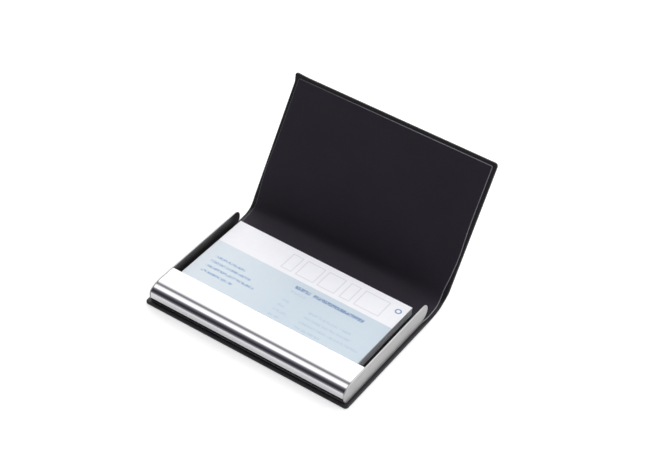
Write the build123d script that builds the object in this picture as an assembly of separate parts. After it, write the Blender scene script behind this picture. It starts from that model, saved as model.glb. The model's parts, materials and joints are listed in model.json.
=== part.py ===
"""Business card case: a bent steel card tray on a leather-covered base, with a flexible spine
and a leather-covered lid that closes over the tray.

Frame: origin at the centre of the base's underside, +X along the long edge, +Y towards the
spine, +Z up. The case stands open, as it does when cards are being taken out.
All sizes are in millimetres, all angles in degrees.
"""

import math
import os

from build123d import *

# ---- cards, which set the size of the case ---------------------------------------------------
card_width = 85.0
card_depth = 55.0
card_thickness = 0.35
card_count = 13
cards_off_centre = -0.8     # the cards lie a little nearer one end cap
top_card_turn = -0.5        # the top card lies slightly askew
stack_stagger = 0.12        # the other cards are uneven by this much

# ---- room around the cards -----------------------------------------------------------------
side_room = 3.55           # cards to each end cap
front_room = 0.35          # cards to the nose's inside, where it is closest
rear_room = 4.0            # cards to the tips of the end caps
head_room = 1.9            # cards to the underside of the lip

# ---- leather-covered boards ----------------------------------------------------------------
skin = 0.35                # leather and lining sheets
board_thickness = 0.75     # stiff board inside base and lid
board_edge_round = 0.3     # round of the board's leather-wrapped edges
corner_radius = 1.5        # free corners of base and lid
turn_in = 5.0              # width of leather folded over onto the inner side
lining_border = 1.6        # leather left bare around the lining
board_setback = 5.7        # crease to the start of the stiff board
flap_inset = 0.2           # the soft part is this much narrower on each side
lining_drop = 1.4          # length over which the lining comes down off the board
fold_clearance = 0.12      # round end of the spine strip to the flaps beside it

# ---- pose at rest --------------------------------------------------------------------------
spine_angle = 5.0          # spine strip above the table
lid_angle = 60.5           # lid above the table

# ---- card tray -----------------------------------------------------------------------------
sheet = 0.45               # tray sheet metal
side_margin = 1.85         # leather base beyond each end cap
nose_margin = 0.55         # leather base in front of the tray's nose
nose_top_run = 7.0         # length of the nose's upper curve
nose_bottom_run = 1.6      # length of the nose's lower curve
nose_rise = 3.9            # tray's underside to the nose's foremost line
lip_depth = 14.6           # foremost line to the lip's free edge
floor_setback = 1.6        # tips of the end caps to the floor's rear edge
tape_thickness = 0.15      # adhesive sheet under the tray
tape_inset = 3.0           # adhesive sheet inside the floor's edges
liner_thickness = 0.3      # black liner on the tray's floor
liner_gap = 0.15           # liner to the end caps and their keys

# ---- end caps ------------------------------------------------------------------------------
cap_thickness = 0.5
cap_rim = 0.1              # the cap stands this proud of the sheet
cap_tip_top_radius = 3.6
cap_tip_bottom_radius = 3.8
cap_edge_round = 0.15
tip_clearance = 0.35       # tips to the closed spine
key_length = 2.0           # the cap's key reaches this far into the nose
key_depth = 6.0            # and runs this far back
key_clearance = 0.05

# ---- lid closing and magnets ---------------------------------------------------------------
lid_clearance = 0.25       # end caps to the closed lid's lining
lid_step = 0.45            # closed lid's free edge behind the base's front edge
magnet_radius = 3.0
magnet_recess = 0.05       # board's faces to the magnets
magnet_setback = 6.0       # lid's free edge to the magnets' centres
magnet_inset = 18.4        # lid's side edge to the magnets' centres
magnet_clearance = 0.05

# ---- heights -------------------------------------------------------------------------------
board_top = board_thickness + skin            # inner face of the turned-in leather, above the crease
lining_top = board_top + skin
magnet_thickness = board_thickness - 2 * magnet_recess
fold_radius = skin
crease_z = skin
tray_bottom = crease_z + lining_top + tape_thickness
card_bottom = tray_bottom + sheet + liner_thickness
card_top = card_bottom + card_count * card_thickness
tray_top = card_top + head_room + sheet
tray_height = tray_top - tray_bottom
nose_z = tray_bottom + nose_rise
spine_length = tray_top + cap_rim + lid_clearance + lining_top - crease_z

# ---- widths, from the centre ---------------------------------------------------------------
tray_half_width = card_width / 2 + side_room
half_width = tray_half_width + cap_thickness + side_margin
case_width = 2 * half_width
flap_half_width = half_width - flap_inset
lining_half_width = half_width - lining_border


# ---- depths --------------------------------------------------------------------------------
def inside_of_nose(run, rise, height):
    """How far the inside of a quarter ellipse lies behind its foremost point, at a height from it."""
    return run * (1 - math.sqrt(1 - (height / rise) ** 2))


to_lowest_card = inside_of_nose(nose_bottom_run - sheet, nose_rise - sheet, nose_z - card_bottom)
to_top_card = inside_of_nose(nose_top_run - sheet, tray_top - nose_z - sheet, card_top - nose_z)
askew_reach = card_width / 2 * math.sin(math.radians(abs(top_card_turn)))
nose_to_cards = sheet + max(to_lowest_card, to_top_card + askew_reach) + front_room
base_depth = nose_margin + nose_to_cards + card_depth + rear_room + tip_clearance + fold_radius
lid_length = base_depth - lid_step
base_front = -base_depth / 2
crease_y = base_depth / 2
nose_front = base_front + nose_margin
card_centre_y = nose_front + nose_to_cards + card_depth / 2
cap_tip = crease_y - fold_radius - tip_clearance
floor_back = cap_tip - floor_setback

os.makedirs("parts", exist_ok=True)


def save(name, *solids):
    """Writes one sub-part, as one solid or as a group of solids."""
    shape = solids[0] if len(solids) == 1 else Compound(children=list(solids))
    export_step(shape, f"parts/{name}.step")


def slab(half, y_from, y_to, z_from, z_to):
    """A plate, centred on X."""
    plate = Box(2 * half, y_to - y_from, z_to - z_from)
    return Pos(0, (y_from + y_to) / 2, (z_from + z_to) / 2) * plate


def along_x(face, x_from, x_to):
    """Extrudes a (y, z) outline from x_from to x_to."""
    return Pos(x_from, 0, 0) * extrude(Plane.YZ * face, x_to - x_from)


def polygon(points):
    return make_face(Polyline(*points, close=True))


def fold_cylinder(radius, y):
    """A bar along a crease, for rounding or clearing what folds there."""
    return Pos(0, y, 0) * Rot(0, 90, 0) * Cylinder(radius, 2 * case_width)


# ---- leather-covered boards, in the crease's own frame: Y away from the crease, Z inwards ----
def panel_cover(length):
    """Outer leather of a base or lid: underside, wrapped edges, turned-in border and soft flap."""
    body = slab(half_width, board_setback, length, -skin, board_top)
    free_corners = body.edges().filter_by(Axis.Z).group_by(Axis.Y)[-1]
    body = fillet(free_corners, corner_radius)
    body = fillet(body.faces().sort_by(Axis.Z)[0].edges(), board_edge_round)
    body = fillet(body.faces().sort_by(Axis.Z)[-1].edges(), board_edge_round)
    board_room = slab(half_width - skin, board_setback, length - skin, 0, board_thickness)
    filler_room = slab(half_width - turn_in, board_setback, length - turn_in, 0, board_top)
    flap = slab(flap_half_width, 0, board_setback + skin, -skin, 0)
    flap -= fold_cylinder(fold_radius + fold_clearance, 0)
    return body - board_room - filler_room + flap


def panel_board(length):
    board = slab(half_width - skin, board_setback, length - skin, 0, board_thickness)
    free_corners = board.edges().filter_by(Axis.Z).group_by(Axis.Y)[-1]
    return fillet(free_corners, corner_radius - skin)


def panel_filler(length):
    """Thin card that levels the board between the turned-in edges."""
    return slab(half_width - turn_in, board_setback, length - turn_in, board_thickness, board_top)


def panel_lining(length):
    """Lining sheet, which runs over the board and comes down onto the flap at the crease."""
    start = fold_radius + fold_clearance
    low = board_setback - lining_drop
    end = length - lining_border
    outline = polygon([
        (start, 0), (low, 0), (board_setback, board_top), (end, board_top),
        (end, lining_top), (board_setback - skin / 2, lining_top), (low - skin / 2, skin), (start, skin),
    ])
    lining = along_x(outline, -lining_half_width, lining_half_width)
    free_corners = lining.edges().filter_by(Axis.Z).group_by(Axis.Y)[-1]
    lining = fillet(free_corners, corner_radius - lining_border / 2)
    top_edges = lining.faces().sort_by(Axis.Z)[-1].edges()
    top_edges = top_edges.filter_by_position(Axis.Y, low + 2 * skin, length)
    return fillet(top_edges, skin / 2)


def on_base(shape):
    return Pos(0, crease_y, crease_z) * Rot(0, 0, 180) * shape


def on_spine(shape):
    return Pos(0, crease_y, crease_z) * Rot(spine_angle, 0, 0) * shape


def on_lid(shape):
    turn = math.radians(spine_angle)
    y = crease_y + spine_length * math.cos(turn)
    z = crease_z + spine_length * math.sin(turn)
    return Pos(0, y, z) * Rot(lid_angle, 0, 0) * shape


# ---- base ----------------------------------------------------------------------------------
save("base_cover", on_base(panel_cover(base_depth)))
save("base_board", on_base(panel_board(base_depth)))
save("base_filler", on_base(panel_filler(base_depth)))
save("base_lining", on_base(panel_lining(base_depth)))


# ---- spine ---------------------------------------------------------------------------------
def spine_strip(half, z_from, z_to):
    """One sheet of the spine, with quarter-round ends about the two creases."""
    middle = slab(half, 0, spine_length, z_from, z_to)
    ends = slab(half, -fold_radius, spine_length + fold_radius, z_from, z_to)
    rounds = fold_cylinder(fold_radius, 0) + fold_cylinder(fold_radius, spine_length)
    return middle + (ends & rounds)


save("spine_cover", on_spine(spine_strip(flap_half_width, -skin, 0)))
save("spine_lining", on_spine(spine_strip(lining_half_width, 0, skin)))

# ---- lid -----------------------------------------------------------------------------------
magnet_x = half_width - magnet_inset
magnet_spots = [
    Pos(side * magnet_x, lid_length - magnet_setback, board_thickness / 2) for side in (-1, 1)
]
lid_board = panel_board(lid_length)
for spot in magnet_spots:
    lid_board -= spot * Cylinder(magnet_radius + magnet_clearance, 2 * board_thickness)
save("lid_cover", on_lid(panel_cover(lid_length)))
save("lid_board", on_lid(lid_board))
save("lid_filler", on_lid(panel_filler(lid_length)))
save("lid_lining", on_lid(panel_lining(lid_length)))
for name, spot in zip(("magnet_left", "magnet_right"), magnet_spots):
    save(name, on_lid(spot * Cylinder(magnet_radius, magnet_thickness)))


# ---- card tray -----------------------------------------------------------------------------
def nose_curve(inset):
    """The nose's two quarter ellipses, lower one first, moved inwards by inset."""
    low_run = nose_bottom_run - inset
    low_rise = nose_z - tray_bottom - inset
    high_run = nose_top_run - inset
    high_rise = tray_top - nose_z - inset
    front = nose_front + inset
    lower = EllipticalCenterArc((front + low_run, nose_z), low_run, low_rise, 180, arc_size=90)
    upper = EllipticalCenterArc((front + high_run, nose_z), high_run, high_rise, 90, arc_size=90)
    return lower, upper


def lower_end(curve):
    return curve @ 1


def upper_end(curve):
    return curve @ 0


outer_low, outer_high = nose_curve(0)
inner_low, inner_high = nose_curve(sheet)
lip_back = nose_front + lip_depth
shell_outline = make_face([
    outer_low,
    outer_high,
    Line(upper_end(outer_high), (lip_back, tray_top)),
    ThreePointArc((lip_back, tray_top), (lip_back + sheet / 2, tray_top - sheet / 2),
                  (lip_back, tray_top - sheet)),
    Line((lip_back, tray_top - sheet), upper_end(inner_high)),
    inner_high,
    inner_low,
    Line(lower_end(inner_low), (floor_back, tray_bottom + sheet)),
    Line((floor_back, tray_bottom + sheet), (floor_back, tray_bottom)),
    Line((floor_back, tray_bottom), lower_end(outer_low)),
])
save("tray_shell", along_x(shell_outline, -tray_half_width, tray_half_width))

tape_front = nose_front + nose_bottom_run + tape_inset
save("tray_tape", slab(tray_half_width - tape_inset, tape_front, floor_back - tape_inset,
                       tray_bottom - tape_thickness, tray_bottom))

key_back = nose_front + key_depth
liner = slab(tray_half_width - liner_gap, nose_front + nose_bottom_run, floor_back,
             tray_bottom + sheet, tray_bottom + sheet + liner_thickness)
for side in (-1, 1):
    key_room = Box(2 * (key_length + liner_gap), 2 * (key_depth + liner_gap), tray_height)
    liner -= Pos(side * tray_half_width, nose_front, tray_bottom) * key_room
save("tray_liner", liner)


# ---- end caps ------------------------------------------------------------------------------
def cap_outline():
    """Side plate: it follows the nose at the front and has a rounded tip at the back."""
    low, high = nose_curve(-cap_rim)
    floor = tray_bottom - cap_rim
    top = tray_top + cap_rim
    low_radius = cap_tip_bottom_radius
    top_radius = cap_tip_top_radius
    tip_low = CenterArc((cap_tip - low_radius, floor + low_radius), low_radius, 270, 90)
    tip_top = CenterArc((cap_tip - top_radius, top - top_radius), top_radius, 0, 90)
    return make_face([
        low, high, tip_low, tip_top,
        Line(lower_end(low), tip_low @ 0),
        Line(tip_low @ 1, tip_top @ 0),
        Line(tip_top @ 1, upper_end(high)),
    ])


def key_outline():
    """The part of the nose's inside that the cap's key fills."""
    low, high = nose_curve(sheet + key_clearance)
    floor = tray_bottom + sheet + key_clearance
    start = lower_end(low)
    stop = upper_end(high)
    inside = make_face([
        low, high,
        Line(start, (stop.X, floor)),
        Line((stop.X, floor), stop),
    ])
    return inside & Pos(nose_front, nose_z) * Rectangle(2 * key_depth, 2 * tray_height)


cap = along_x(cap_outline(), tray_half_width, tray_half_width + cap_thickness)
cap = fillet(cap.faces().sort_by(Axis.X)[-1].edges(), cap_edge_round)
cap += along_x(key_outline(), tray_half_width - key_length, tray_half_width)
save("cap_right", cap)
save("cap_left", mirror(cap, about=Plane.YZ))


# ---- cards ---------------------------------------------------------------------------------
def card(level, x_shift=0.0, y_shift=0.0, turn=0.0):
    z = card_bottom + (level + 0.5) * card_thickness
    shape = Box(card_width, card_depth, card_thickness)
    return Pos(cards_off_centre + x_shift, card_centre_y + y_shift, z) * Rot(0, 0, turn) * shape


def staggered(level):
    x_shift = stack_stagger * math.sin(2.4 * level)
    y_shift = stack_stagger * (1 + math.sin(1.7 * level + 1)) / 2
    return card(level, x_shift, y_shift)


save("card_stack", *[staggered(level) for level in range(card_count - 1)])
save("top_card", card(card_count - 1, turn=top_card_turn))
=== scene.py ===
import json
import math

import bmesh
import bpy
import numpy as np
from mathutils import Matrix, Vector


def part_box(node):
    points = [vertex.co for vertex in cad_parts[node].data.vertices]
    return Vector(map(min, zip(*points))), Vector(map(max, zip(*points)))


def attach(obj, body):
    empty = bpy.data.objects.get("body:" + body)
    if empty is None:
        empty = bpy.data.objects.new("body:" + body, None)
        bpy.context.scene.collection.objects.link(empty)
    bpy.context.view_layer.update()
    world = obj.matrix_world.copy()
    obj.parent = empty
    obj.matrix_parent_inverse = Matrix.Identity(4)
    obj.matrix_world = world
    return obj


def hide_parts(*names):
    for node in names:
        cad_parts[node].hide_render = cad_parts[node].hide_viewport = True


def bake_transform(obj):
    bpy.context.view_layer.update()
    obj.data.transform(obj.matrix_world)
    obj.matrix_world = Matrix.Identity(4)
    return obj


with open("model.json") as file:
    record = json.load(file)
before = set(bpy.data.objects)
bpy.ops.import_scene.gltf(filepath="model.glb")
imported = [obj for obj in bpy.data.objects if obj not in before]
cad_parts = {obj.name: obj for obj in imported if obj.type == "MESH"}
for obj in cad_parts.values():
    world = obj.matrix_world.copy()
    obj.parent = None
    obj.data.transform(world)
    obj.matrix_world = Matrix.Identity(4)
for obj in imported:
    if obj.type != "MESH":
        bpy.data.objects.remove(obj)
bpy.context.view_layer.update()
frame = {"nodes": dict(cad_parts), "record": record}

# Looks of the business card case. Metres, in the frame's own axes: +X along the long edge,
# +Y towards the spine, +Z up. Lengths below that carry no unit of their own are millimetres.
MM = 0.001


def box(node):
    low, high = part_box(node)
    return np.array(low) / MM, np.array(high) / MM


joints = {joint["name"]: joint for joint in frame["record"]["behaviour"]["joints"]}

# ---- sizes taken from the frame --------------------------------------------------------------
base_low, base_high = box("base_cover")
lining_low, lining_high = box("base_lining")
board_low, board_high = box("base_board")
shell_low, shell_high = box("tray_shell")
cap_low, cap_high = box("cap_right")
liner_low, liner_high = box("tray_liner")
stack_low, stack_high = box("card_stack")
card_low, card_high = box("top_card")
flap_half = box("spine_cover")[1][0]

crease_y, crease_z = np.array(joints["spine_fold"]["pos_m"][1:]) / MM
lid_y, lid_z = np.array(joints["lid_fold"]["pos_m"][1:]) / MM
spine_angle = -math.radians(joints["spine_fold"]["range_deg"][0])
lid_angle = spine_angle - math.radians(joints["lid_fold"]["range_deg"][0])
spine_length = math.hypot(lid_y - crease_y, lid_z - crease_z)

skin = board_low[2]
half_width = base_high[0]
lining_half = lining_high[0]
board_top = base_high[2] - crease_z
base_length = crease_y - base_low[1]
setback = crease_y - board_high[1]
lining_border = half_width - lining_half
lid_length = (box("lid_board")[1][1] - lid_y) / math.cos(lid_angle) + skin

# ---- sizes of the looks ----------------------------------------------------------------------
# leather and lining
corner_radius = 1.5
edge_round = 0.55          # leather round a board's edge
flap_round = 0.16          # leather at the soft part's side edge
flap_taper = 9.0           # length over which the soft part narrows
turned_in = 1.7            # width of the leather border turned in over the board
turned_in_flat = 1.2       # the part of it that lies nearly level, before it thins out
turned_in_dips = (0.01, 0.06)    # how far it lies below the edge there and at its end
lining_drop = 7.0          # length over which the lining comes down off the board
lining_edge_round = 0.28
lining_tuck = 0.3          # first ring of the lining's underside, in from its edge
sunk = 0.04                # lining's underside, below the leather's face
waist, waist_place, waist_length = 0.45, 4.0, 5.0    # the lid's lining draws in beside the fold
swell, swell_place, swell_length = 0.6, 20.0, 9.0    # and comes out further up the lid
ear = 1.1                  # one free corner of the lid's leather stands out by this much
ear_length = 3.4
ear_from = 43.0            # distance from the middle of the case at which it starts
ear_width = 5.0
ear_lift = 0.25            # share of the ear that also points up the lid
face_shift = 300.0         # keeps the grain of a panel's two faces apart

# bends of the strip
fold_half = 5.45           # half the length of the bend between spine and lid
crease_half = 1.2          # half the length of the bend between base and spine
sag_right = 0.6            # the bend cuts its corner a little more at its right end
sag_length = 3.5
sag_from, sag_width = -12.0, 60.0                    # where along X that starts, and over what
ripple_long, ripple_short = 0.05, 0.03
ripple_reach = 5.0         # the ripples stay within about this distance of the spine's middle

# tray, with the same nose, lip, plates and keys as the CAD model
nose_top_run = 7.0
nose_bottom_run = 1.6
nose_rise = 3.9
sheet = 0.45
lip_depth = 14.6
cap_rim = 0.1
cap_tip_top_radius = 3.6
cap_tip_bottom_radius = 3.8
cap_round = 0.16
cap_inner_round = 0.03
key_length = 2.0
key_depth = 6.0
key_clearance = 0.05
seam = 0.12                # sheet to side plate
liner_corner = 0.25
liner_rounds = (0.02, 0.1)

# cards, as in the CAD model
card_size = (85.0, 55.0)
card_thickness = 0.35
card_gap = 0.02
card_corner = 0.12
card_rounds = (0.03, 0.04)
card_count = 13
card_turn = math.radians(-0.5)
stack_stagger = 0.12
card_centre = (card_low + card_high) / 2


# ---- mesh helpers ----------------------------------------------------------------------------
def make_object(name, points, faces, uvs, slots, materials, sharp=35.0):
    """A mesh object from points in millimetres, faces, one (u, v) list and one slot per face."""
    mesh = bpy.data.meshes.new(name)
    mesh.from_pydata([tuple(p) for p in np.asarray(points, float) * MM], [], faces)
    layer = mesh.uv_layers.new(name="grain")
    flat = [c for face in uvs for corner in face for c in corner]
    layer.data.foreach_set("uv", flat)
    mesh.polygons.foreach_set("material_index", slots)
    mesh.polygons.foreach_set("use_smooth", [True] * len(faces))
    for material in materials:
        mesh.materials.append(material)
    work = bmesh.new()
    work.from_mesh(mesh)
    bmesh.ops.recalc_face_normals(work, faces=work.faces)
    work.to_mesh(mesh)
    work.free()
    mesh.set_sharp_from_angle(angle=math.radians(sharp))
    mesh.update()
    made = bpy.data.objects.new(name, mesh)
    bpy.context.scene.collection.objects.link(made)
    return made


def smooth_step(value):
    """Eases from 0 to 1 as the value does."""
    value = np.clip(value, 0, 1)
    return value * value * (3 - 2 * value)


def rounded_outline(corners, radius, steps=6):
    """Points and outward normals round a polygon given anticlockwise, its corners rounded."""
    points, normals = [], []
    count = len(corners)
    for i in range(count):
        before, here, after = (np.array(corners[(i + k) % count], float) for k in (-1, 0, 1))
        a = (here - before) / np.linalg.norm(here - before)
        b = (after - here) / np.linalg.norm(after - here)
        turn = math.atan2(a[0] * b[1] - a[1] * b[0], a @ b)
        side = 1.0 if turn > 0 else -1.0
        start = here - a * radius * math.tan(abs(turn) / 2)
        out_a = np.array([a[1], -a[0]])
        centre = start - out_a * radius * side
        for k in range(steps + 1):
            t = turn * k / steps
            out = np.array([out_a[0] * math.cos(t) - out_a[1] * math.sin(t),
                            out_a[0] * math.sin(t) + out_a[1] * math.cos(t)])
            points.append(centre + out * radius * side)
            normals.append(out)
    return np.array(points), np.array(normals)


def plate(outline, normals, low, high, round_low, round_high, steps=5):
    """Points (a, b, h), faces and kinds of a plate with rounded edges.

    Kind 0 is one of the two flat faces, which come last, and 1 is the edge.
    """
    rings = []
    for k in range(steps + 1):
        t = math.pi / 2 * k / steps
        rings.append((round_low * (1 - math.sin(t)), low + round_low * (1 - math.cos(t))))
    for k in range(steps + 1):
        t = math.pi / 2 * k / steps
        rings.append((round_high * (1 - math.cos(t)), high - round_high * (1 - math.sin(t))))
    points, faces, kinds = [], [], []
    count = len(outline)
    for inset, level in rings:
        for p, n in zip(outline, normals):
            points.append((*(p - n * inset), level))
    for r in range(len(rings) - 1):
        for i in range(count):
            j = (i + 1) % count
            a, b = r * count, (r + 1) * count
            faces.append((a + i, a + j, b + j, b + i))
            kinds.append(1)
    faces.append(tuple(range(count))[::-1])
    faces.append(tuple(range((len(rings) - 1) * count, len(rings) * count)))
    kinds += [0, 0]
    return points, faces, kinds


def join_parts(parts):
    """Several (points, faces, kinds) as one."""
    points, faces, kinds = [], [], []
    for p, f, k in parts:
        start = len(points)
        points += list(p)
        faces += [tuple(start + i for i in face) for face in f]
        kinds += list(k)
    return points, faces, kinds


def flat_uvs(points, faces, first=0, second=1):
    return [[(points[i][first], points[i][second]) for i in face] for face in faces]


# ---- material helpers ------------------------------------------------------------------------
def material(name, **sockets):
    made = bpy.data.materials.new(name)
    made.use_nodes = True
    shader = made.node_tree.nodes["Principled BSDF"]
    for key, value in sockets.items():
        shader.inputs[key.replace("_", " ")].default_value = value
    return made, made.node_tree, shader


def add(tree, kind, inputs=None, **settings):
    """A node with its settings, and its inputs linked to sockets or set to values."""
    node = tree.nodes.new("ShaderNode" + kind)
    for key, value in settings.items():
        setattr(node, key, value)
    for key, value in (inputs or {}).items():
        if isinstance(value, bpy.types.NodeSocket):
            tree.links.new(value, node.inputs[key])
        else:
            node.inputs[key].default_value = value
    return node


def maths(tree, operation, *values):
    return add(tree, "Math", dict(enumerate(values)), operation=operation).outputs[0]


def ramp(tree, factor, stops):
    node = add(tree, "ValToRGB", {"Fac": factor})
    elements = node.color_ramp.elements
    while len(elements) < len(stops):
        elements.new(0.5)
    for element, (position, colour) in zip(elements, stops):
        element.position = position
        element.color = (*colour, 1)
    return node.outputs["Color"]


def blend_colours(tree, factor, first, second):
    node = add(tree, "Mix", data_type="RGBA")
    for key, value in ((0, factor), (6, first), (7, second)):
        if isinstance(value, bpy.types.NodeSocket):
            tree.links.new(value, node.inputs[key])
        else:
            node.inputs[key].default_value = (*value, 1) if isinstance(value, tuple) else value
    return node.outputs[2]


def feed(tree, shader, **sources):
    """Links sockets to the shader's inputs of these names."""
    for key, source in sources.items():
        tree.links.new(source, shader.inputs[key.replace("_", " ")])


def bump(tree, shader, height, strength, distance, after=None):
    """Relief of this distance in metres, on top of an earlier bump if one is given."""
    inputs = {"Height": height, "Strength": strength, "Distance": distance}
    if after is not None:
        inputs["Normal"] = after
    node = add(tree, "Bump", inputs)
    tree.links.new(node.outputs["Normal"], shader.inputs["Normal"])
    return node.outputs["Normal"]


def grain_coordinates(tree):
    """The piece's flat coordinates, in millimetres."""
    return add(tree, "UVMap", uv_map="grain").outputs["UV"]


def object_coordinates(tree, scale):
    """The piece's own coordinates, scaled from metres to cells per millimetre."""
    source = add(tree, "TexCoord").outputs["Object"]
    size = tuple(s / MM for s in scale)
    return add(tree, "Mapping", {"Vector": source, "Scale": size}).outputs["Vector"]


def noise(tree, vector, scale, detail=3.0, roughness=0.55):
    inputs = {"Vector": vector, "Scale": scale, "Detail": detail, "Roughness": roughness}
    return add(tree, "TexNoise", inputs).outputs["Fac"]


def map_range(tree, value, low, high, new_low, new_high):
    """The value's run from low to high, mapped to new_low to new_high and held there beyond."""
    inputs = {0: value, 1: low, 2: high, 3: new_low, 4: new_high}
    return add(tree, "MapRange", inputs).outputs[0]


# ---- materials -------------------------------------------------------------------------------
def leather_material(name, dark, light, cell, grain_depth, rough, gloss):
    """Pebbled imitation leather: fine cells, a few soft creases, and a faint change of sheen."""
    made, tree, shader = material(name, Specular_IOR_Level=gloss)
    at = grain_coordinates(tree)
    warp = add(tree, "TexNoise", {"Vector": at, "Scale": 0.8, "Detail": 2.0}).outputs["Color"]
    bent = add(tree, "VectorMath", {0: at, 1: warp}, operation="ADD").outputs[0]
    cells = add(tree, "TexVoronoi", {"Vector": bent, "Scale": 1 / cell, "Smoothness": 0.6},
                feature="SMOOTH_F1").outputs["Distance"]
    fine = noise(tree, at, 7.0, 4.0)
    broad = noise(tree, at, 0.035, 3.0)
    shade = maths(tree, "MULTIPLY_ADD", cells, -0.35, maths(tree, "MULTIPLY_ADD", broad, 0.9, 0.25))
    colour = ramp(tree, shade, [(0.15, dark), (0.85, light)])
    feed(tree, shader, Base_Color=colour)
    sheen_change = maths(tree, "MULTIPLY_ADD", broad, 0.22, maths(tree, "MULTIPLY", fine, 0.08))
    rougher = map_range(tree, sheen_change, 0.08, 0.24, rough[0], rough[1])
    feed(tree, shader, Roughness=rougher)
    first = bump(tree, shader, cells, 0.5, grain_depth * MM)
    bump(tree, shader, fine, 0.25, grain_depth * MM / 2, first)
    return made


leather = leather_material("case_leather", dark=(0.007, 0.006, 0.008), light=(0.015, 0.013, 0.017),
                           cell=0.5, grain_depth=0.05, rough=(0.4, 0.55), gloss=0.3)
lining = leather_material("case_lining", dark=(0.017, 0.0135, 0.021), light=(0.026, 0.021, 0.032),
                          cell=0.28, grain_depth=0.02, rough=(0.6, 0.75), gloss=0.18)


def cut_edge_material():
    """The lining's cut edge: paler than the lining, partly as a raw cut edge and partly as a
    painted highlight, slightly glossy, with short fibres along the cut.
    """
    made, tree, shader = material("lining_cut_edge_highlight", Roughness=0.34, Specular_IOR_Level=0.6)
    at = grain_coordinates(tree)
    along = noise(tree, at, 0.9, 4.0)
    across = add(tree, "SeparateXYZ", {"Vector": at}).outputs[0]
    # short fibres along the cut, plus a painted highlight that grows brighter towards the right
    highlight_rightwards = maths(tree, "MULTIPLY_ADD", along, 0.4, map_range(tree, across, -46, 15, 0.0, 0.5))
    colour = ramp(tree, highlight_rightwards, [(0.25, (0.04, 0.037, 0.045)), (0.8, (0.19, 0.18, 0.20))])
    feed(tree, shader, Base_Color=colour)
    bump(tree, shader, along, 0.3, 0.02 * MM)
    return made


cut_edge = cut_edge_material()


def steel_material():
    """Polished sheet: hairlines along its length, faint smears and a few fine scratches."""
    made, tree, shader = material("polished_steel_sheet", Metallic=1.0)
    hairs = noise(tree, object_coordinates(tree, (0.03, 6.0, 6.0)), 1.0, 4.0)
    smears = noise(tree, object_coordinates(tree, (0.05, 0.09, 0.09)), 1.0, 3.0)
    scratch = add(tree, "TexVoronoi", {"Vector": object_coordinates(tree, (0.05, 0.9, 0.9)),
                                       "Scale": 1.0}, feature="DISTANCE_TO_EDGE")
    lines = map_range(tree, scratch.outputs["Distance"], 0.0, 0.012, 1.0, 0.0)
    colour = ramp(tree, smears, [(0.3, (0.55, 0.548, 0.57)), (0.7, (0.59, 0.587, 0.605))])
    feed(tree, shader, Base_Color=colour)
    base = map_range(tree, smears, 0.35, 0.7, 0.03, 0.07)
    rough = maths(tree, "MULTIPLY_ADD", lines, 0.04, maths(tree, "MULTIPLY_ADD", hairs, 0.02, base))
    feed(tree, shader, Roughness=rough)
    bump(tree, shader, hairs, 0.05, 0.004 * MM)
    return made


def satin_material(name, dark, light, rough, depth, metallic):
    """Finely blasted and brushed plate: faint lines along its length."""
    made, tree, shader = material(name, Metallic=metallic, Specular_IOR_Level=0.4)
    lines = noise(tree, object_coordinates(tree, (5.0, 0.12, 9.0)), 1.0, 5.0, 0.6)
    patches = noise(tree, object_coordinates(tree, (0.1, 0.1, 0.3)), 1.0, 2.0)
    grain = noise(tree, object_coordinates(tree, (2.2, 2.2, 2.2)), 1.0, 3.0)
    broad = maths(tree, "MULTIPLY_ADD", grain, 0.45, maths(tree, "MULTIPLY", patches, 0.25))
    mixed = maths(tree, "MULTIPLY_ADD", lines, 0.3, broad)
    colour = ramp(tree, mixed, [(0.3, dark), (0.7, light)])
    feed(tree, shader, Base_Color=colour)
    feed(tree, shader, Roughness=map_range(tree, mixed, 0.3, 0.7, rough[0], rough[1]))
    first = bump(tree, shader, lines, 0.18, depth * MM)
    bump(tree, shader, grain, 0.3, depth * MM * 2, first)
    return made


steel = steel_material()
satin = satin_material("satin_side_plate", dark=(0.345, 0.345, 0.345), light=(0.46, 0.455, 0.45),
                       rough=(0.5, 0.62), depth=0.012, metallic=0.25)
# lighter, smoother copy of the satin finish for the plates' edges: the lighter colour is a painted
# highlight along the rim
rim_painted_highlight = satin_material("rim_painted_highlight", dark=(0.44, 0.44, 0.445), light=(0.54, 0.54, 0.54),
                            rough=(0.3, 0.4), depth=0.004, metallic=0.3)
plate_inside = satin_material("plate_inside", dark=(0.33, 0.32, 0.315), light=(0.46, 0.45, 0.44),
                              rough=(0.32, 0.44), depth=0.01, metallic=1.0)


def paper_shade(tree, at, white):
    """Slight cloudiness of card, as a colour."""
    cloud = noise(tree, at, 0.4, 5.0, 0.6)
    darker = tuple(c * 0.975 for c in white)
    return ramp(tree, cloud, [(0.3, darker), (0.7, white)])


def card_edge_material():
    """White card seen at its cut edges, with fibres and slightly uneven sheets, painted about half
    as light as the card's face as painted shade on the stack's side.
    """
    made, tree, shader = material("card_stock", Roughness=0.75, Specular_IOR_Level=0.3)
    at = object_coordinates(tree, (1.0, 1.0, 1.0))
    streaks = noise(tree, object_coordinates(tree, (0.3, 0.3, 6.0)), 1.0, 3.0)
    # edge colours well below the face's white: painted shade; the streaks vary it from sheet to
    # sheet
    colour = blend_colours(tree, map_range(tree, streaks, 0.3, 0.7, 0.0, 0.5),
                           paper_shade(tree, at, (0.46, 0.47, 0.50)), (0.26, 0.27, 0.30))
    feed(tree, shader, Base_Color=colour)
    bump(tree, shader, noise(tree, at, 9.0, 4.0), 0.2, 0.008 * MM)
    return made


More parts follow.
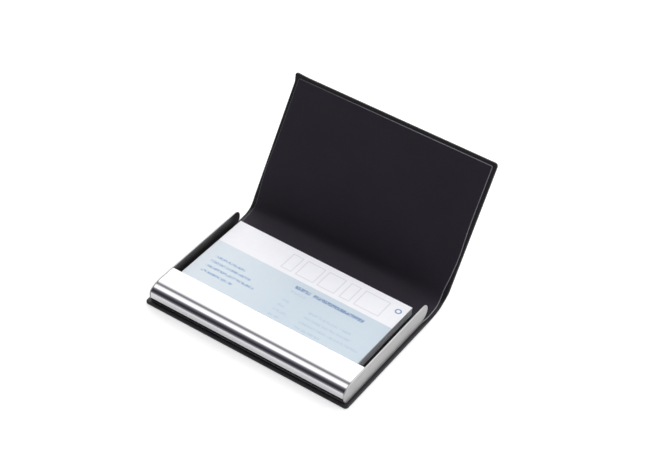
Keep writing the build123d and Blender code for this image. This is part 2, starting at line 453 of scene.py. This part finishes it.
def rectangle_mask(tree, x, y, span, soft):
    """1 inside the span (x from, x to, y from, y to) of the card's own millimetres, else 0."""
    left, right, low, high = span
    sides = [map_range(tree, x, left - soft, left + soft, 0, 1),
             map_range(tree, x, right - soft, right + soft, 1, 0),
             map_range(tree, y, low - soft, low + soft, 0, 1),
             map_range(tree, y, high - soft, high + soft, 1, 0)]
    across = maths(tree, "MULTIPLY", sides[0], sides[1])
    up = maths(tree, "MULTIPLY", sides[2], sides[3])
    return maths(tree, "MULTIPLY", across, up)


def any_of(tree, masks):
    total = masks[0]
    for mask in masks[1:]:
        total = maths(tree, "MAXIMUM", total, mask)
    return total


def speckle(tree, at, low=0.1):
    """Breaks a bar up into uneven strokes, so that it reads as small print from afar."""
    strokes = add(tree, "TexVoronoi", {"Vector": at, "Scale": 1.7}).outputs["Color"]
    value = add(tree, "SeparateColor", {"Color": strokes}).outputs[0]
    return map_range(tree, value, 0.15, 0.6, low, 1.0)


# The top card's plain print, in millimetres from the middle of the card: +x right, +y back.
band_span = (-50, 50, -30, 12.4)
frame_spans = ((-13.2, -7.8), (-6.0, 3.0), (4.6, 13.2), (15.4, 20.4), (22.4, 34.4))
frame_low, frame_high = 14.6, 24.6
frame_line = 0.5
ring_place = (39.2, 22.2)
ring_inner, ring_outer = 0.85, 1.45
heading_bars = ((-1.2, 6.0, 8.6), (7.6, 31.6, 8.6))                     # (x from, x to, y)
address_bars = ((-37.4, -22.6, 3.5), (-37.4, -17.8, 0.3), (-37.4, -13.8, -3.0),
                (-37.4, -22.0, -6.4))
faint_bars = ((-1.2, 5.6, 5.4), (-1.2, 2.4, -0.6), (11.4, 31.6, -0.6), (-1.2, 2.0, -3.9),
              (11.4, 33.4, -3.9), (-1.2, 5.4, -7.2), (11.4, 38.8, -7.2), (-1.2, 3.6, -10.6),
              (11.4, 23.2, -10.6))
# (bars, half their height, softness of their edges, ink, its strength, least ink in a stroke)
printed_bars = ((faint_bars, 0.55, 0.35, (0.30, 0.43, 0.60), 0.4, 0.1),
                (address_bars, 0.6, 0.3, (0.20, 0.34, 0.55), 0.8, 0.1),
                (heading_bars, 0.9, 0.25, (0.10, 0.20, 0.42), 0.78, 0.35))


def frames_mask(tree, x, y):
    """Thin outlined frames in a row."""
    frames = []
    for left, right in frame_spans:
        outer = rectangle_mask(tree, x, y, (left, right, frame_low, frame_high), 0.1)
        inside = (left + frame_line, right - frame_line, frame_low + frame_line,
                  frame_high - frame_line)
        frames.append(maths(tree, "SUBTRACT", outer, rectangle_mask(tree, x, y, inside, 0.1)))
    return any_of(tree, frames)


def ring_mask(tree, x, y):
    """A small ring near the card's corner."""
    squares = [maths(tree, "POWER", maths(tree, "SUBTRACT", value, place), 2.0)
               for value, place in zip((x, y), ring_place)]
    away = maths(tree, "SQRT", maths(tree, "ADD", *squares))
    return maths(tree, "MULTIPLY", map_range(tree, away, ring_inner - 0.1, ring_inner + 0.1, 0, 1),
                 map_range(tree, away, ring_outer - 0.1, ring_outer + 0.1, 1, 0))


def printed_card_material():
    """White card with a pale blue band and plain bars and frames where a card has its printing."""
    made, tree, shader = material("printed_card", Roughness=0.55, Specular_IOR_Level=0.35)
    at = grain_coordinates(tree)
    split = add(tree, "SeparateXYZ", {"Vector": at})
    x, y = split.outputs[0], split.outputs[1]
    white = paper_shade(tree, at, (0.89, 0.893, 0.93))
    # the pale blue band grows darker from left to right: painted shade across the card
    band_with_painted_shade = blend_colours(tree, map_range(tree, x, -42, 5, 0, 1),
                         paper_shade(tree, at, (0.70, 0.76, 0.81)),
                         paper_shade(tree, at, (0.59, 0.68, 0.75)))
    colour = blend_colours(tree, rectangle_mask(tree, x, y, band_span, 0.15), white, band_with_painted_shade)
    colour = blend_colours(tree, maths(tree, "MULTIPLY", frames_mask(tree, x, y), 0.42), colour,
                           (0.50, 0.52, 0.56))
    for bars, half_height, soft, ink, strength, least in printed_bars:
        spans = [(left, right, row - half_height, row + half_height) for left, right, row in bars]
        masks = [rectangle_mask(tree, x, y, span, soft) for span in spans]
        print_strength = maths(tree, "MULTIPLY", speckle(tree, at, least), strength)
        colour = blend_colours(tree, maths(tree, "MULTIPLY", any_of(tree, masks), print_strength),
                               colour, ink)
    colour = blend_colours(tree, maths(tree, "MULTIPLY", ring_mask(tree, x, y), 0.85), colour,
                           (0.07, 0.18, 0.45))
    feed(tree, shader, Base_Color=colour)
    bump(tree, shader, noise(tree, at, 9.0, 4.0), 0.12, 0.006 * MM)
    return made


card_edge_painted_shade = card_edge_material()
card_print = printed_card_material()


def flock_material():
    """Black flock: short dense fibres, dull, with a soft sheen."""
    made, tree, shader = material("black_flock", Roughness=0.95, Specular_IOR_Level=0.1,
                                  Sheen_Weight=0.15, Sheen_Roughness=0.6)
    at = object_coordinates(tree, (1.0, 1.0, 1.0))
    fibres = noise(tree, at, 14.0, 4.0, 0.7)
    colour = ramp(tree, fibres, [(0.3, (0.006, 0.006, 0.007)), (0.7, (0.017, 0.016, 0.018))])
    feed(tree, shader, Base_Color=colour)
    bump(tree, shader, fibres, 0.6, 0.05 * MM)
    return made


def inner_material(name, dark, light, cells, rough, metallic=0.0):
    """Plain inner stock, cloudy and slightly uneven."""
    made, tree, shader = material(name, Metallic=metallic)
    cloud = noise(tree, object_coordinates(tree, cells), 1.0, 5.0, 0.65)
    feed(tree, shader, Base_Color=ramp(tree, cloud, [(0.3, dark), (0.7, light)]))
    feed(tree, shader, Roughness=map_range(tree, cloud, 0.3, 0.7, rough[0], rough[1]))
    bump(tree, shader, cloud, 0.3, 0.02 * MM)
    return made


flock = flock_material()
grey_board = inner_material("grey_board", dark=(0.30, 0.27, 0.22), light=(0.46, 0.42, 0.36),
                            cells=(1.2, 1.2, 3.0), rough=(0.8, 0.95))
levelling_card = inner_material("levelling_card", dark=(0.47, 0.44, 0.38), light=(0.58, 0.55, 0.49),
                                cells=(0.8, 0.8, 2.0), rough=(0.75, 0.9))
adhesive_sheet = inner_material("adhesive_sheet", dark=(0.66, 0.65, 0.60), light=(0.78, 0.77, 0.73),
                                cells=(0.3, 0.3, 1.0), rough=(0.35, 0.5))
nickel_plate = inner_material("nickel_plate", dark=(0.52, 0.52, 0.53), light=(0.64, 0.63, 0.62),
                              cells=(0.9, 0.9, 0.9), rough=(0.2, 0.34), metallic=1.0)
hidden_nodes = {"base_board": grey_board, "lid_board": grey_board,
                "base_filler": levelling_card, "lid_filler": levelling_card,
                "tray_tape": adhesive_sheet,
                "magnet_left": nickel_plate, "magnet_right": nickel_plate}
for name, finish in hidden_nodes.items():
    node_mesh = frame["nodes"][name].data
    node_mesh.materials.clear()
    node_mesh.materials.append(finish)


# ---- the case's own path: base, spine and lid as one strip -----------------------------------
spine_start = base_length
lid_start = base_length + spine_length


def bend(s, corner, corner_y, corner_z, half, before, after):
    """Place and slope on the arc that rounds a corner of the path."""
    share = (s - corner + half) / (2 * half)
    turn = after - before
    radius = half / math.tan(turn / 2)
    slope = before + share * turn
    start_y = corner_y - half * math.cos(before)
    start_z = corner_z - half * math.sin(before)
    y = start_y + radius * (np.sin(slope) - math.sin(before))
    z = start_z - radius * (np.cos(slope) - math.cos(before))
    return y, z, slope


def centre_line(s):
    """(y, z, slope) of the crease plane at distance s from the base's free edge."""
    s = np.asarray(s, float)
    lid = (lid_y + (s - lid_start) * math.cos(lid_angle),
           lid_z + (s - lid_start) * math.sin(lid_angle), np.full_like(s, lid_angle))
    spine = (crease_y + (s - spine_start) * math.cos(spine_angle),
             crease_z + (s - spine_start) * math.sin(spine_angle), np.full_like(s, spine_angle))
    base = (base_low[1] + s, np.full_like(s, crease_z), np.zeros_like(s))
    fold = bend(s, lid_start, lid_y, lid_z, fold_half, spine_angle, lid_angle)
    crease = bend(s, spine_start, crease_y, crease_z, crease_half, 0.0, spine_angle)
    here = base
    for limit, part in ((spine_start - crease_half, crease), (spine_start + crease_half, spine),
                        (lid_start - fold_half, fold), (lid_start + fold_half, lid)):
        here = tuple(np.where(s > limit, new, old) for new, old in zip(part, here))
    return here


def sag(x, s):
    """Soft unevenness of the flexible part, the same for the leather and the lining."""
    side = smooth_step((x - sag_from) / sag_width) ** 2
    corner = sag_right * side * np.exp(-((s - lid_start) / sag_length) ** 2)
    soft = np.exp(-((s - (spine_start + lid_start) / 2) / ripple_reach) ** 4)
    ripple = (ripple_long * np.sin(0.21 * x + 0.9) * np.sin(0.8 * s)
              + ripple_short * np.sin(0.47 * x + 0.5 * s))
    return corner + ripple * soft


def on_path(x, s, n):
    """Point at width x, distance s along the strip and height n inwards from the crease plane."""
    y, z, slope = centre_line(s)
    n = n + sag(x, s)
    return np.stack([x, y - n * np.sin(slope), z + n * np.cos(slope)], axis=-1)


def raised(c):
    """0 on the soft part and 1 on the board, at distance c from the crease."""
    return smooth_step((c - setback + lining_drop) / lining_drop)


def leather_half(c):
    """Half the leather's width at distance c from the crease: the soft part is narrower."""
    share = smooth_step((c - setback + flap_taper) / flap_taper)
    return flap_half + (half_width - flap_half) * share


def panel_outline(half, radius, start, end, columns):
    """Right side, free edge and left side of a panel.

    Gives points, outward normals and the number of points on the right side, which lie closer
    together on the soft part.
    """
    soft_end = setback + 0.7
    fine = np.linspace(start, soft_end, 46)
    coarse = np.linspace(soft_end, end - radius, 26)[1:]
    side_c = np.concatenate([fine, coarse])
    side_x = half(side_c)
    arc = np.linspace(0, math.pi / 2, 10)[1:]
    wide = half(np.array([end]))[0]
    arc_x = wide - radius + radius * np.cos(arc)
    arc_c = end - radius + radius * np.sin(arc)
    right = np.stack([np.concatenate([side_x, arc_x]), np.concatenate([side_c, arc_c])], 1)
    right_n = np.stack([np.concatenate([np.ones_like(side_c), np.cos(arc)]),
                        np.concatenate([np.zeros_like(side_c), np.sin(arc)])], 1)
    free_x = np.linspace(wide - radius, -(wide - radius), columns + 1)[1:-1]
    free = np.stack([free_x, np.full_like(free_x, end)], 1)
    free_n = np.tile([0.0, 1.0], (len(free_x), 1))
    flip = np.array([-1.0, 1.0])
    points = np.concatenate([right, free, (right * flip)[::-1]])
    normals = np.concatenate([right_n, free_n, (right_n * flip)[::-1]])
    return points, normals, len(right)


def panel(name, half, radius, start, end, sections, to_s, materials, edge_slot, columns=48,
          reshape=None):
    """A closed panel: rings round its edge, and rows across its two faces.

    half(c) gives half its width and sections(c) the (inset, height) pairs of the rings at
    distance c from the crease. to_s turns c into a distance along the strip, and reshape moves
    the flat points (x, c, height) before they are laid on the path.
    """
    outline, normals, rights = panel_outline(half, radius, start, end, columns)
    ring_sets = np.array([sections(c) for c in outline[:, 1]])
    count, rings = len(outline), ring_sets.shape[1]
    steps = np.linalg.norm(np.diff(ring_sets, axis=1), axis=2)
    unrolled = np.concatenate([np.zeros((count, 1)), np.cumsum(steps, axis=1)], axis=1)
    flat, uv_of = [], []
    for r in range(rings):
        inset = ring_sets[:, r, :1]
        place = outline - normals * inset
        flat.append(np.concatenate([place, ring_sets[:, r, 1:]], axis=1))
        outwards = unrolled[:, -1:] - unrolled[:, r:r + 1]
        uv_of.append(outline - normals * ring_sets[:, -1, :1] + normals * outwards)
    flat = list(np.concatenate(flat))
    uv_of = list(np.concatenate(uv_of))
    faces, uvs, slots = [], [], []
    for r in range(rings - 1):
        for i in range(count - 1):
            face = (r * count + i, r * count + i + 1, (r + 1) * count + i + 1, (r + 1) * count + i)
            faces.append(face)
            uvs.append([tuple(uv_of[k]) for k in face])
            slots.append(edge_slot)
    end_rows = []
    for ring, shift in ((0, face_shift), (rings - 1, 0.0)):
        rows = []
        for i in range(rights):
            first, last = ring * count + i, ring * count + count - 1 - i
            if i == rights - 1:
                rows.append(list(range(first, last + 1)))
                continue
            row = [first]
            a, b = flat[first], flat[last]
            for k in range(1, columns):
                row.append(len(flat))
                flat.append(a + (b - a) * k / columns)
                uv_of.append(flat[-1][:2])
            rows.append(row + [last])
        for low, high in zip(rows, rows[1:]):
            for k in range(columns):
                face = (low[k], low[k + 1], high[k + 1], high[k])
                faces.append(face)
                uvs.append([(flat[v][0], flat[v][1] + shift) for v in face])
                slots.append(0)
        end_rows.append(rows[0])
    left = [r * count + count - 1 for r in range(rings)]
    right = [r * count for r in range(rings)]
    end_face = end_rows[0] + left[1:-1] + end_rows[1][::-1] + right[1:-1][::-1]
    faces.append(tuple(end_face))
    uvs.append([tuple(flat[v][:2]) for v in end_face])
    slots.append(0)
    flat = np.array(flat)
    if reshape:
        flat = reshape(flat)
    points = on_path(flat[:, 0], to_s(flat[:, 1]), flat[:, 2])
    return make_object(name, points, faces, uvs, slots, materials, sharp=60.0)


def leather_sections(c):
    """Leather from its outer face, round the board's edge, to the turned-in border."""
    share = raised(c)
    top = board_top * share
    radius = flap_round + (edge_round - flap_round) * share
    arcs = []
    for k in range(6):
        t = math.pi / 2 * k / 5
        arcs.append((radius * (1 - math.sin(t)), -skin + radius * (1 - math.cos(t))))
    for k in range(6):
        t = math.pi / 2 * k / 5
        arcs.append((radius * (1 - math.cos(t)), top - radius * (1 - math.sin(t))))
    border = [(turned_in_flat, top - turned_in_dips[0]), (turned_in, top - turned_in_dips[1])]
    return [(turned_in, -skin)] + arcs + border


def lining_sections(c):
    """Lining sheet with its cut edge."""
    low = board_top * raised(c) - sunk
    high = board_top * raised(c) + skin
    r = lining_edge_round
    arc = [(r * (1 - math.cos(t)), high - r * (1 - math.sin(t)))
           for t in np.linspace(0, math.pi / 2, 5)]
    return [(lining_tuck, low), (0.0, low)] + arc


def base_s(c):
    return spine_start - c


def lid_s(c):
    return lid_start + c


def with_ear(flat):
    """Stands one free corner of the leather out sideways, where the turned-in corner is thick."""
    x, c, n = flat.T
    along = smooth_step((c - lid_length + ear_length) / ear_length)
    share = along * smooth_step((-x - ear_from) / ear_width)
    return np.stack([x - ear * share, c + ear_lift * ear * share, n], axis=1)


lining_radius = corner_radius - lining_border / 2
spine_half = spine_length / 2
leather_lower = panel("leather_lower", leather_half, corner_radius, -spine_half, base_length,
                      leather_sections, base_s, [leather], 0)
leather_upper = panel("leather_upper", leather_half, corner_radius, -spine_half, lid_length,
                      leather_sections, lid_s, [leather], 0, reshape=with_ear)


def straight_width(c):
    """Half width of the base's lining."""
    return np.full_like(c, lining_half)


def wavy_width(c):
    """Half width of the lid's lining, whose edge isn't quite straight."""
    return (lining_half - waist * np.exp(-((c - waist_place) / waist_length) ** 2)
            + swell * np.exp(-((c - swell_place) / swell_length) ** 2))


lining_lower = panel("lining_lower", straight_width, lining_radius, -spine_half,
                     base_length - lining_border, lining_sections, base_s, [lining, cut_edge], 1)
lining_upper = panel("lining_upper", wavy_width, lining_radius, -spine_half,
                     lid_length - lining_border, lining_sections, lid_s, [lining, cut_edge], 1)


# ---- tray ------------------------------------------------------------------------------------
nose_front = shell_low[1]
tray_bottom, tray_top = shell_low[2], shell_high[2]
nose_z = tray_bottom + nose_rise
high_rise = tray_top - nose_z


def nose(inset, degrees):
    """Point on the nose whose outward normal is turned this far forward from straight up."""
    t = math.radians(degrees)
    if degrees <= 90:
        run, rise = nose_top_run, high_rise
    else:
        run, rise = nose_bottom_run, nose_rise
    run, rise, front = run - inset, rise - inset, nose_front + inset
    size = math.hypot(run * math.sin(t), rise * math.cos(t))
    return np.array([front + run - run * run * math.sin(t) / size,
                     nose_z + rise * rise * math.cos(t) / size])


def line_points(a, b, pitch=1.0):
    """Points from a towards b, about a pitch apart, without b itself."""
    a, b = np.array(a, float), np.array(b, float)
    steps = max(1, int(np.linalg.norm(b - a) / pitch))
    return [a + (b - a) * k / steps for k in range(steps)]


def shell_profile():
    """The tray sheet's (y, z) section: floor, nose and lip with a rounded back edge."""
    lip_back = nose_front + lip_depth
    floor_back = shell_high[1]
    top_bend, bottom_bend = nose(0, 0), nose(0, 180)
    inner_top, inner_bottom = nose(sheet, 0), nose(sheet, 180)
    lip = [np.array([lip_back + sheet / 2 * math.sin(t), tray_top - sheet / 2 * (1 - math.cos(t))])
           for t in np.linspace(0, math.pi, 9)]
    outline = line_points((floor_back, tray_bottom), bottom_bend)
    outline += [nose(0, d) for d in np.arange(180, -0.1, -1.5)]
    outline += line_points(top_bend, lip[0])[1:] + lip
    outline += line_points(lip[-1], inner_top)[1:]
    outline += [nose(sheet, d) for d in np.arange(0, 180.1, 3)]
    outline += line_points(inner_bottom, (floor_back, tray_bottom + sheet))[1:]
    outline.append(np.array([floor_back, tray_bottom + sheet]))
    return np.array(outline)


def extruded(profile, x_from, x_to, stations):
    """Points, faces and kinds of a (y, z) profile drawn along X."""
    xs = np.linspace(x_from, x_to, stations)
    count = len(profile)
    points = [(x, y, z) for x in xs for y, z in profile]
    faces = []
    for k in range(stations - 1):
        for i in range(count):
            j = (i + 1) % count
            a, b = k * count, (k + 1) * count
            faces.append((a + i, a + j, b + j, b + i))
    faces.append(tuple(range(count)))
    faces.append(tuple(range((stations - 1) * count, stations * count))[::-1])
    return points, faces, [0] * len(faces)


points, faces, kinds = extruded(shell_profile(), shell_low[0] + seam, shell_high[0] - seam, 24)
tray = make_object("tray_sheet", points, faces, flat_uvs(points, faces), kinds, [steel])


def cap_outline():
    """Side plate's (y, z) outline and normals: down the nose, along the floor, round the tip."""
    floor, top, tip = cap_low[2], cap_high[2], cap_high[1]
    places, outs = [], []
    for degrees in np.arange(0, 180.1, 2.0):
        t = math.radians(degrees)
        places.append(nose(-cap_rim, degrees))
        outs.append((-math.sin(t), math.cos(t)))
    places += line_points(places[-1], (tip - cap_tip_bottom_radius, floor))[1:]
    outs += [(0, -1)] * (len(places) - len(outs))
    for t in np.linspace(-math.pi / 2, 0, 12):
        places.append(np.array([tip - cap_tip_bottom_radius + cap_tip_bottom_radius * math.cos(t),
                                floor + cap_tip_bottom_radius * (1 + math.sin(t))]))
        outs.append((math.cos(t), math.sin(t)))
    for t in np.linspace(0, math.pi / 2, 10):
        places.append(np.array([tip - cap_tip_top_radius + cap_tip_top_radius * math.cos(t),
                                top - cap_tip_top_radius + cap_tip_top_radius * math.sin(t)]))
        outs.append((math.cos(t), math.sin(t)))
    back = line_points(places[-1], places[0])[1:]
    places += back
    outs += [(0, 1)] * len(back)
    return np.array(places), np.array(outs, float)


def key_profile():
    """The part of the nose's inside that the plate's key fills."""
    inset = sheet + key_clearance
    back = nose_front + key_depth
    curve = [nose(inset, d) for d in np.arange(180, -0.1, -4)]
    kept = [p for p in curve if p[0] <= back]
    run, rise = nose_top_run - inset, high_rise - inset
    across = (back - nose_front - inset - run) / run
    upper = nose_z + rise * math.sqrt(max(0.0, 1 - across ** 2))
    floor = tray_bottom + inset
    return np.array([(back, floor)] + kept + [(back, upper)])


cap_inner, cap_outer = shell_high[0], cap_high[0]
cap_points, cap_faces, cap_kinds = plate(*cap_outline(), cap_inner, cap_outer, cap_inner_round,
                                         cap_round)
cap_points = [(h, a, b) for a, b, h in cap_points]
cap_kinds[-2] = 2          # the plate's inner face
key = extruded(key_profile(), cap_inner - key_length, cap_inner, 2)
caps = []
for side, name, node in ((1, "side_plate_right", "cap_right"), (-1, "side_plate_left", "cap_left")):
    points, faces, kinds = join_parts([(cap_points, cap_faces, cap_kinds), key])
    points = [(side * x, y, z) for x, y, z in points]
    # the plate's edge faces take the painted rim highlight
    made = make_object(name, points, faces, flat_uvs(points, faces, 1, 2), kinds,
                       [satin, rim_painted_highlight, plate_inside])
    caps.append((made, node))


def tray_liner_outline():
    """The liner's outline, cut out at its two front corners for the plates' keys."""
    side, back, front = liner_high[0], liner_high[1], liner_low[1]
    gap = shell_high[0] - side
    key_side = side - key_length
    key_back = nose_front + key_depth + gap
    corners = [(-key_side, front), (key_side, front), (key_side, key_back), (side, key_back),
               (side, back), (-side, back), (-side, key_back), (-key_side, key_back)]
    return rounded_outline(corners, liner_corner)


points, faces, kinds = plate(*tray_liner_outline(), liner_low[2], liner_high[2], *liner_rounds)
liner = make_object("tray_floor_liner", points, faces, flat_uvs(points, faces), [0] * len(faces),
                    [flock])

# ---- cards -----------------------------------------------------------------------------------
half_x, half_y = card_size[0] / 2, card_size[1] / 2
card_corners = [(-half_x, -half_y), (half_x, -half_y), (half_x, half_y), (-half_x, half_y)]
card_outline, card_normals = rounded_outline(card_corners, card_corner, 3)


def card_plate(low, x, y, turn):
    """One card: points in the case's millimetres, its own flat coordinates, faces and kinds."""
    local, faces, kinds = plate(card_outline, card_normals, low, low + card_thickness - card_gap,
                                *card_rounds, 3)
    c, s = math.cos(turn), math.sin(turn)
    placed = [(x + c * a - s * b, y + s * a + c * b, h) for a, b, h in local]
    return placed, local, faces, kinds


stack = []
for level in range(card_count - 1):
    x = card_centre[0] + stack_stagger * math.sin(2.4 * level)
    y = card_centre[1] + stack_stagger * (1 + math.sin(1.7 * level + 1)) / 2
    placed, _, faces, kinds = card_plate(stack_low[2] + level * card_thickness, x, y, 0.0)
    stack.append((placed, faces, kinds))
points, faces, kinds = join_parts(stack)
card_pile = make_object("card_pile", points, faces, flat_uvs(points, faces), [0] * len(faces),
                        [card_edge_painted_shade])
placed, local, faces, kinds = card_plate(card_low[2], card_centre[0], card_centre[1], card_turn)
slots = [0] * len(faces)
slots[-1] = 1              # the top face carries the print
front_card = make_object("front_card", placed, faces, flat_uvs(local, faces), slots,
                         [card_edge_painted_shade, card_print])

# ---- bodies ----------------------------------------------------------------------------------
for made, body, slot_name, nodes in (
        (tray, "case", "polished_steel", ["tray_shell"]),
        (liner, "case", "liner", ["tray_liner"]),
        (card_pile, "cards", "card_stock", ["card_stack"]),
        (front_card, "cards", "card_print", ["top_card"]),
        (caps[0][0], "case", "satin_cap", [caps[0][1]]),
        (caps[1][0], "case", "satin_cap", [caps[1][1]])):
    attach(made, body)
    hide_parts(*nodes)


for made, slot_name, nodes in ((leather_lower, "leather", ["base_cover", "spine_cover"]),
                               (lining_lower, "lining", ["base_lining", "spine_lining"])):
    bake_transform(made)
    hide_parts(*nodes)
for made, slot_name, nodes in ((leather_upper, "leather", ["lid_cover"]),
                               (lining_upper, "lining", ["lid_lining"])):
    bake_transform(made)
    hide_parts(*nodes)


# ---- floor -----------------------------------------------------------------------------------
floor_radius = 2.5                 # metres
floor_drop = 0.00002               # metres below the base
floor_glow = 0.5                   # keeps the floor nearly white close to the case


def floor_material():
    """Matt paper backdrop that gives off a little light of its own."""
    made, tree, shader = material("studio_floor", Roughness=0.9, Specular_IOR_Level=0.1,
                                  Emission_Color=(1, 1, 1, 1), Emission_Strength=floor_glow)
    cloud = noise(tree, object_coordinates(tree, (0.01, 0.01, 0.01)), 1.0, 3.0)
    feed(tree, shader, Base_Color=ramp(tree, cloud, [(0.3, (0.60, 0.60, 0.605)),
                                                     (0.7, (0.63, 0.63, 0.63))]))
    return made


bpy.ops.mesh.primitive_circle_add(vertices=96, radius=floor_radius, fill_type="NGON",
                                  location=(0, 0, -floor_drop))
floor = bpy.context.object
floor.name = "studio_floor"
floor.data.materials.append(floor_material())

# ---- studio light: a broad white ceiling, dark towards the front -------------------------------
# (degrees from the front horizon over the top to the back horizon, brightness)
sky = [(0, 0.62), (14, 0.30), (23, 0.14), (33, 0.06), (48, 0.06), (57, 0.12), (64, 0.22),
       (70, 0.6), (76, 1.75), (88, 1.9), (94, 1.3), (98, 0.55), (102, 0.28), (106, 0.5),
       (111, 1.35), (116, 2.0), (180, 2.1)]
sky_gain = 1.05
violet = (0.96, 0.9, 1.12)         # the dark part of the room is faintly violet
dark_below = 0.3


def light_studio():
    """A world whose brightness changes only with the angle about the X axis."""
    brightest = max(value for angle, value in sky)
    stops = []
    for angle, value in sky:
        shade = violet if value < dark_below else (1, 1, 1)
        stops.append((angle / 180, tuple(value / brightest * c for c in shade)))
    world = bpy.data.worlds.new("studio")
    bpy.context.scene.world = world
    world.use_nodes = True
    tree = world.node_tree
    parts = add(tree, "SeparateXYZ", {"Vector": add(tree, "TexCoord").outputs["Generated"]})
    forward = maths(tree, "MULTIPLY", parts.outputs[1], -1.0)
    turn = maths(tree, "ARCTAN2", parts.outputs[2], forward)
    colour = ramp(tree, maths(tree, "DIVIDE", turn, math.pi), stops)
    background = tree.nodes["Background"]
    tree.links.new(colour, background.inputs["Color"])
    background.inputs["Strength"].default_value = brightest * sky_gain


light_studio()
bpy.context.scene.view_settings.view_transform = "Standard"

# ---- camera ----------------------------------------------------------------------------------
azimuth, elevation, roll = (math.radians(a) for a in (30.65, 40.80, 4.94))
look_at = (0, 1.125, 10.0)                          # a point on the case
right_by, up_by, distance = 12.15, 26.09, 724.03    # camera from that point, along its own axes


def place_camera():
    back = Vector((math.sin(azimuth) * math.cos(elevation),
                   -math.cos(azimuth) * math.cos(elevation), math.sin(elevation)))
    level_right = Vector((0, 0, 1)).cross(back).normalized()
    level_up = back.cross(level_right)
    right = level_right * math.cos(roll) + level_up * math.sin(roll)
    up = level_up * math.cos(roll) - level_right * math.sin(roll)
    place = (Vector(look_at) + right * right_by + up * up_by + back * distance) * MM
    data = bpy.data.cameras.new("camera")
    data.sensor_width = 36
    data.lens = 101.52
    data.shift_x = 0.0013
    data.shift_y = -0.0090
    data.clip_start = 0.01
    camera = bpy.data.objects.new("camera", data)
    rows = [[right[i], up[i], back[i], place[i]] for i in range(3)]
    camera.matrix_world = Matrix(rows + [[0, 0, 0, 1]])
    bpy.context.scene.collection.objects.link(camera)
    bpy.context.scene.camera = camera


place_camera()
